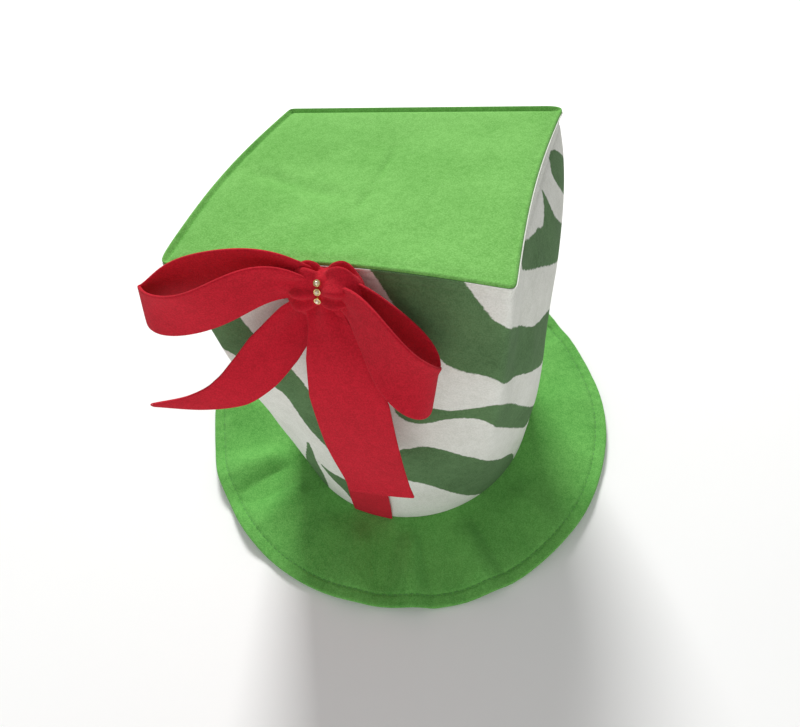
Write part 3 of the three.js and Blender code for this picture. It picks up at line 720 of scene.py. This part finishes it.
def top_place(s, t):
    """s runs from left to right and t from front to back, both from 0 to 1."""
    edge_line = lambda around: square(around, 1.5 * (1 - raised(around)))
    front, back = edge_line(0.625 + s / 4), edge_line(0.375 - s / 4)
    left, right = edge_line(0.625 - t / 4), edge_line(0.875 + t / 4)
    s2, t2 = s[..., None], t[..., None]
    front_left, front_right = edge_line(np.array(0.625)), edge_line(np.array(0.875))
    back_left, back_right = edge_line(np.array(0.375)), edge_line(np.array(0.125))
    between_corners = lerp(lerp(front_left, front_right, s2), lerp(back_left, back_right, s2), t2)
    flat = lerp(front, back, t2) + lerp(left, right, s2) - between_corners
    x, y = flat[..., 0], flat[..., 1]
    edge = np.minimum(np.minimum(s, 1 - s), np.minimum(t, 1 - t)) * TOP_SIDE
    z = top_height(x, y)
    dents = 0
    share_x, share_y = (x - TOP_SHIFT_X) / TOP_HALF, (y - TOP_SHIFT_Y) / TOP_HALF
    for at_x, at_y, wide, push in TOP_DENTS:
        dents = dents + push * bump(np.hypot(share_x - at_x, share_y - at_y) / wide)
    field = smoothstep(4, 22, edge)
    z = z + TOP_DENT * dents * field
    seam = smoothstep(-8, 8, (np.minimum(1 - s, t) - np.minimum(s, 1 - t)) * TOP_SIDE)
    z = z + seam * (LIP_RISE * (1 - smoothstep(1.0, 3.2, edge)) - 1.2 * bump((edge - 3.9) / 1.0))
    z = z - (1 - seam) * 0.8 * (1 - smoothstep(0.0, 2.6, edge))
    z = z + 0.6 * (smoothstep(3.5, 9, edge) - smoothstep(9, 34, edge))
    z = z + field * 0.45 * waver(x, y, 3, 48.0) + field * 0.2 * waver(x, y, 8, 17.0)
    z = z - 0.6 * (1 - smoothstep(0.0, 0.9, edge))
    for ax, ay, bx, by, wide, push in TOP_CREASES:
        run = np.array([bx - ax, by - ay], float)
        along = np.clip(((x - ax) * run[0] + (y - ay) * run[1]) / (run @ run), 0, 1)
        off = np.hypot(x - ax - along * run[0], y - ay - along * run[1])
        z = z + push * bump(off / wide) * np.sin(half_turn * np.clip(along, 0.08, 0.92))
    return np.stack([x, y, z], -1)


def top_shares():
    near = TOP_RINGS / TOP_SIDE
    middle = np.linspace(11.2 / TOP_SIDE, 1 - 11.2 / TOP_SIDE, 72)
    return np.concatenate([near, middle, 1 - near[::-1]])


def make_top():
    s, t = np.meshgrid(top_shares(), top_shares())
    piece = cloth("square_top_felt", top_place(s, t), closed=False)
    finish_with(piece, "SOLIDIFY", thickness=1.7 * MM, offset=-1.0, use_even_offset=True)
    finish_with(piece, "SUBSURF", levels=1, render_levels=1)
    smooth_shaded(piece, 60)
    dress(piece, top_green)
    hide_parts("crown_top")
    return piece


# The red band up the front


def make_band():
    ups = np.linspace(0.0, 1.0, 120)
    across = np.linspace(0, 1, 22)
    share, up = np.meshgrid(across, ups)
    x = BAND_X + BAND_WIDTH * (share - 0.5) + 0.5 * np.sin(up * 17) * (share - 0.5) * 2
    lift = GAP + 0.15 + 0.25 * (1 + waver(x, up * 215, 21, 30.0)) + 0.5 * (share * 2 - 1) ** 4
    around = round_at_front(x, up, -lift)
    places = wall_face(around, up, -lift)
    piece = cloth("front_band_felt", places, closed=False)
    finish_with(piece, "SOLIDIFY", thickness=1.3 * MM, offset=1.0, use_even_offset=True)
    finish_with(piece, "SUBSURF", levels=1, render_levels=1)
    smooth_shaded(piece, 60)
    dress(piece, ribbon_red)
    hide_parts("front_band")
    return piece


# The bow


def spline(points, count):
    """Evenly read points of a centripetal curve through the given ones, and where each one lies."""
    first, last = 2 * points[0] - points[1], 2 * points[-1] - points[-2]
    ends = np.vstack([first, points, last])
    places, along = [], []
    steps = np.linspace(0, len(points) - 1, count)
    for step in steps:
        i = min(int(step), len(points) - 2)
        t = step - i
        p0, p1, p2, p3 = ends[i:i + 4]
        k = [max(np.linalg.norm(b - a) ** 0.5, 1e-6) for a, b in ((p0, p1), (p1, p2), (p2, p3))]
        m1 = k[1] * ((p1 - p0) / k[0] - (p2 - p0) / (k[0] + k[1]) + (p2 - p1) / k[1])
        m2 = k[1] * ((p2 - p1) / k[1] - (p3 - p1) / (k[1] + k[2]) + (p3 - p2) / k[2])
        leave, arrive = t**3 - 2 * t**2 + t, t**3 - t**2
        places.append((2 * t**3 - 3 * t**2 + 1) * p1 + leave * m1 + (3 * t**2 - 2 * t**3) * p2 + arrive * m2)
        along.append(step)
    return np.array(places), np.array(along)


def ribbon_places(rows, reach, outwards, width, count, across, gather, pleats, seed):
    """A felt ribbon through a table of sections. gather says how pleated each spot of the run is."""
    points = np.stack([rows[:, 0] * reach, -rows[:, 1] * outwards, rows[:, 2] * reach], -1)
    run, at = spline(points, count)
    tangent = np.gradient(run, axis=0)
    tangent /= np.linalg.norm(tangent, axis=1)[:, None]
    column = lambda index: np.interp(at, np.arange(len(rows)), rows[:, index])
    lean, tip = np.radians(column(4)), np.radians(column(5))
    wide = np.stack([np.sin(lean) * np.cos(tip), np.sin(tip), np.cos(lean) * np.cos(tip)], -1)
    wide -= tangent * (wide * tangent).sum(1)[:, None]
    wide /= np.linalg.norm(wide, axis=1)[:, None]
    soft = np.hanning(25) / np.hanning(25).sum()
    for _ in range(3):
        padded = np.pad(wide, ((12, 12), (0, 0)), mode="edge")
        wide = np.stack([np.convolve(padded[:, k], soft, "valid") for k in range(3)], -1)
        wide -= tangent * (wide * tangent).sum(1)[:, None]
        wide /= np.linalg.norm(wide, axis=1)[:, None]
    normal = np.cross(tangent, wide)
    share = np.linspace(-0.5, 0.5, across)
    length = at / (len(rows) - 1)
    spread = width * column(3)
    amount = gather(length)[:, None]
    fold = np.cos(2 * half_turn * (pleats * (share[None] + 0.5)) + 1.5 * np.sin(length[:, None] * 9))
    down_run, across_run = np.meshgrid(length * 120, share * width, indexing="ij")
    billow = waver(down_run, across_run, seed, 60.0)
    middle = knot_middle + run
    places = middle[:, None] + wide[:, None] * (spread[:, None] * share[None])[..., None]
    lift = amount * fold + 0.8 * billow * (1 - np.clip(amount / 2.0, 0, 1))
    return places + normal[:, None] * lift[..., None]


def evened(places):
    """The ribbon without sharp turns: each row of points moves towards its neighbours along the run."""
    soft = np.hanning(17)[1:-1]
    soft /= soft.sum()
    for _ in range(3):
        padded = np.pad(places, ((7, 7), (0, 0), (0, 0)), mode="reflect", reflect_type="odd")
        places = sum(weight * padded[i:i + len(places)] for i, weight in enumerate(soft))
    return places


def make_ribbon(name, node, places):
    piece = cloth(name, places, closed=False)
    finish_with(piece, "SOLIDIFY", thickness=1.5 * MM, offset=0.0, use_even_offset=False)
    finish_with(piece, "SUBSURF", levels=1, render_levels=1)
    smooth_shaded(piece, 60)
    dress(piece, ribbon_red)
    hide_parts(node)
    return piece


def at_ends(size, reach):
    return lambda length: size * (bump(length / reach) + bump((1 - length) / reach))


def at_start(size, reach):
    return lambda length: size * bump(length / reach)


def make_bow():
    left = ribbon_places(
        LEFT_LOOP, LEFT_LOOP_REACH, LOOP_OPENING, LOOP_WIDTH, 150, 23, at_ends(0.7, 0.11), 2, 31
    )
    make_ribbon(
        "bow_left_loop_felt", "bow_loop_left", evened(left)
    )
    right = ribbon_places(
        RIGHT_LOOP, RIGHT_LOOP_REACH, LOOP_OPENING, LOOP_WIDTH, 140, 23, at_ends(0.7, 0.12), 2, 37
    )
    make_ribbon(
        "bow_right_loop_felt", "bow_loop_right", evened(right)
    )
    outer = ribbon_places(
        LEFT_TAIL, LEFT_TAIL_REACH, TAIL_STAND_OFF, TAIL_WIDTH, 90, 25, at_start(1.1, 0.3), 1.5, 41
    )
    make_ribbon(
        "bow_left_tail_felt", "bow_tail_left", outer
    )
    hanging = ribbon_places(
        FRONT_TAIL, FRONT_TAIL_DROP, TAIL_STAND_OFF, TAIL_WIDTH, 110, 29, at_start(1.4, 0.2), 1.5, 43
    )
    make_ribbon(
        "bow_front_tail_felt", "bow_tail_front", hanging
    )


def knot_place(direction):
    x = direction[..., 0] * KNOT_WIDTH / 2
    waist = 1 - KNOT_WAIST * bump(x / (KNOT_WIDTH / 6))
    angle = np.arctan2(direction[..., 2], direction[..., 1])
    pleat = 1 + 0.05 * np.cos(6 * angle + 2 * direction[..., 0])
    y = direction[..., 1] * (KNOT_DEPTH / 2 * waist * pleat)
    z = direction[..., 2] * (KNOT_HEIGHT / 2 * waist * pleat)
    return np.stack([x, y, z], -1)


def make_knot():
    deselect_all()
    bpy.ops.mesh.primitive_uv_sphere_add(
        segments=120, ring_count=72, radius=1, rotation=(0, half_turn / 2, 0)
    )
    bpy.ops.object.transform_apply(location=False, rotation=True, scale=False)
    piece = bpy.context.object
    piece.name = piece.data.name = "gathered_knot_felt"
    flat = np.empty(len(piece.data.vertices) * 3, np.float32)
    piece.data.vertices.foreach_get("co", flat)
    direction = flat.reshape(-1, 3).astype(float)
    direction /= np.linalg.norm(direction, axis=1)[:, None]
    places = knot_place(direction)
    along = direction[:, 0]
    angle = np.arctan2(direction[:, 2], -direction[:, 1])
    fan = np.cos(8 * angle + 1.4 * np.sin(3 * angle) + np.where(along > 0, 0.6, 2.1))
    folds = 0.17 * fan * smoothstep(0.02, 0.2, np.abs(along)) * (1 - smoothstep(0.55, 0.98, np.abs(along)))
    places[:, 1:] *= (1 + folds)[:, None]
    puffs = bump((np.abs(along) - 0.55) / 0.35)
    places[:, 1] *= np.where(places[:, 1] < 0, 1.1 + 0.14 * puffs, 1.0)
    places[:, 2] *= 1 + 0.08 * puffs
    places[:, 2] += 0.14 * places[:, 0]
    placed = (places + knot_middle + HEAD_MIDDLE) * MM
    piece.data.vertices.foreach_set("co", placed.astype(np.float32).ravel())
    in_edit_mode(piece, lambda: bpy.ops.mesh.normals_make_consistent(inside=False))
    smooth_shaded(piece, 60)
    dress(piece, ribbon_red)
    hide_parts("bow_knot")
    return piece


# The three cup-set crystals over the knot's waist


def make_cup():
    """A thin round cup with a rolled rim, standing up from the origin, in metres."""
    bpy.ops.mesh.primitive_cylinder_add(
        vertices=24, radius=CUP_RADIUS * MM, depth=CUP_HEIGHT * MM, location=(0, 0, CUP_HEIGHT * MM / 2)
    )
    bpy.ops.object.transform_apply(location=True, rotation=True, scale=True)
    cup = bpy.context.object
    bpy.ops.object.mode_set(mode="EDIT")
    bpy.ops.mesh.select_all(action="DESELECT")
    bpy.ops.object.mode_set(mode="OBJECT")
    for face in cup.data.polygons:
        face.select = face.normal.z > 0.9
    bpy.ops.object.mode_set(mode="EDIT")
    bpy.ops.mesh.select_mode(type="FACE")
    bpy.ops.mesh.inset(thickness=0.4 * MM, depth=0)
    bpy.ops.mesh.inset(thickness=0.05 * MM, depth=-0.7 * MM)
    bpy.ops.object.mode_set(mode="OBJECT")
    finish_with(cup, "BEVEL", width=0.12 * MM, segments=2, limit_method="ANGLE", angle_limit=np.radians(50))
    return cup


def make_stone():
    """A brilliant with a flat table and eight leaning facets."""
    girdle = CUP_RADIUS * 0.76 * MM
    bpy.ops.mesh.primitive_cone_add(
        vertices=8, radius1=girdle, radius2=girdle * 0.55, depth=(STONE_RISE + 0.25) * MM,
        location=(0, 0, (CUP_HEIGHT - 0.25 + (STONE_RISE + 0.25) / 2) * MM),
    )
    bpy.ops.object.transform_apply(location=True, rotation=True, scale=True)
    stone = bpy.context.object
    finish_with(stone, "BEVEL", width=0.12 * MM, segments=1, limit_method="ANGLE", angle_limit=np.radians(20))
    return stone


def make_crystals():
    waist_radius = KNOT_HEIGHT / 2 * (1 - KNOT_WAIST)
    for i in range(STONES):
        angle = STONE_MIDDLE + (i - 1) * STONE_PITCH * 180 / (half_turn * waist_radius)
        turn = np.radians(angle)
        direction = np.array([0, -np.cos(turn), np.sin(turn)])
        seat = (knot_place(direction) + knot_middle + HEAD_MIDDLE - 0.2 * direction) * MM
        stand = Matrix.Translation(Vector(seat)) @ Matrix.Rotation(half_turn / 2 - turn, 4, "X")
        deselect_all()
        cup = make_cup()
        cup.data.transform(stand)
        cup.name = cup.data.name = f"stone_cup_{i + 1}"
        smooth_shaded(cup, 40)
        dress(cup, gold_cup)
        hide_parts(f"rhinestone_{i + 1}")
        deselect_all()
        stone = make_stone()
        stone.data.transform(stand)
        stone.name = stone.data.name = f"crystal_{i + 1}"
        dress(stone, clear_crystal)
        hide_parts(f"rhinestone_{i + 1}")


# Sewing


def sew(name, line, normals, length, thick):
    """Short stitches of thread laid along a closed line, one each few millimetres."""
    steps = np.linalg.norm(np.roll(line, -1, 0) - line, axis=1)
    along = np.concatenate([[0], np.cumsum(steps)])
    total = along[-1]
    count = int(round(total / 4.0))
    closed = np.vstack([line, line[:1]])
    up_closed = np.vstack([normals, normals[:1]])
    made = []
    for i in range(count):
        at = total * (i + 0.5) / count
        here = np.array([np.interp(at, along, closed[:, k]) for k in range(3)])
        ahead = np.array([np.interp((at + 0.5) % total, along, closed[:, k]) for k in range(3)])
        up = np.array([np.interp(at, along, up_closed[:, k]) for k in range(3)])
        made.append((here, ahead - here, up))
    deselect_all()
    bpy.ops.mesh.primitive_uv_sphere_add(segments=6, ring_count=5, radius=1)
    one = bpy.context.object
    size = Matrix.Diagonal((length / 2 * MM, thick / 2 * MM, thick / 2 * MM, 1))
    one.data.transform(size)
    copies = [one]
    for here, ahead, up in made:
        x = Vector(ahead).normalized()
        z = (Vector(up) - x * x.dot(Vector(up))).normalized()
        y = z.cross(x)
        turn = Matrix((x, y, z)).transposed().to_4x4()
        copy = bpy.data.objects.new(name, one.data.copy())
        bpy.context.collection.objects.link(copy)
        copy.data.transform(Matrix.Translation(Vector((here + HEAD_MIDDLE) * MM)) @ turn)
        copies.append(copy)
    bpy.data.objects.remove(copies.pop(0))
    deselect_all()
    for copy in copies:
        copy.select_set(True)
    bpy.context.view_layer.objects.active = copies[0]
    bpy.ops.object.join()
    piece = bpy.context.object
    piece.name = piece.data.name = name
    smooth_shaded(piece, 70)
    dress(piece, green_thread)
    return piece


def make_stitching():
    around = np.linspace(0, 1, 960, endpoint=False)
    for name, side in (("brim_upper_stitches", 1), ("brim_lower_stitches", -1)):
        line = brim_place(around, np.full_like(around, BRIM_SEAM), side)
        line[:, 2] += 0.1 * side
        if side < 0:
            line[:, 2] = np.maximum(line[:, 2], 0.3)
        sew(name, line, np.tile([0, 0, float(side)], (len(around), 1)), 3.0, 0.55)


def make_floor():
    deselect_all()
    bpy.ops.mesh.primitive_plane_add(size=12, location=(0, 0, -0.0004))
    floor = bpy.context.object
    floor.name = "pale_floor"
    floor.data.materials.append(plain_floor("pale_floor"))


def make_camera():
    lens = bpy.data.cameras.new("camera")
    lens.lens, lens.sensor_width, lens.sensor_fit = 26.0, 36.0, "HORIZONTAL"
    camera = bpy.data.objects.new("camera", lens)
    bpy.context.collection.objects.link(camera)
    place = Vector((0.0863, -0.2359, 0.4069))
    towards = (Vector((0.0033, -0.013, 0.080)) - place).normalized()
    right = towards.cross(Vector((0, 0, 1))).normalized()
    up = right.cross(towards)
    roll = np.radians(-7.0)
    right, up = right * np.cos(roll) + up * np.sin(roll), -right * np.sin(roll) + up * np.cos(roll)
    camera.matrix_world = Matrix.Translation(place) @ Matrix((right, up, -towards)).transposed().to_4x4()
    bpy.context.scene.camera = camera


def add_light(name, place, size, watts, target=(0, 0, 0.08)):
    lamp = bpy.data.lights.new(name, "AREA")
    lamp.energy, lamp.size = watts, size
    light = bpy.data.objects.new(name, lamp)
    light.location = place
    light.rotation_euler = (Vector(target) - Vector(place)).to_track_quat("-Z", "Y").to_euler()
    bpy.context.collection.objects.link(light)


def make_light():
    world = bpy.data.worlds.new("studio")
    world.use_nodes = True
    background = world.node_tree.nodes["Background"]
    background.inputs["Color"].default_value = (1.0, 1.0, 1.0, 1.0)
    background.inputs["Strength"].default_value = 0.38
    bpy.context.scene.world = world
    bpy.context.scene.view_settings.view_transform = "Standard"
    add_light("key", (-0.66, 1.7, 1.72), 0.6, 61.0)
    add_light("front_fill", (0.35, -1.6, 0.5), 1.2, 8.0)


make_camera()
make_light()
make_floor()
make_brim()
make_wall()
make_top()
make_band()
make_knot()
make_bow()
make_crystals()
make_stitching()
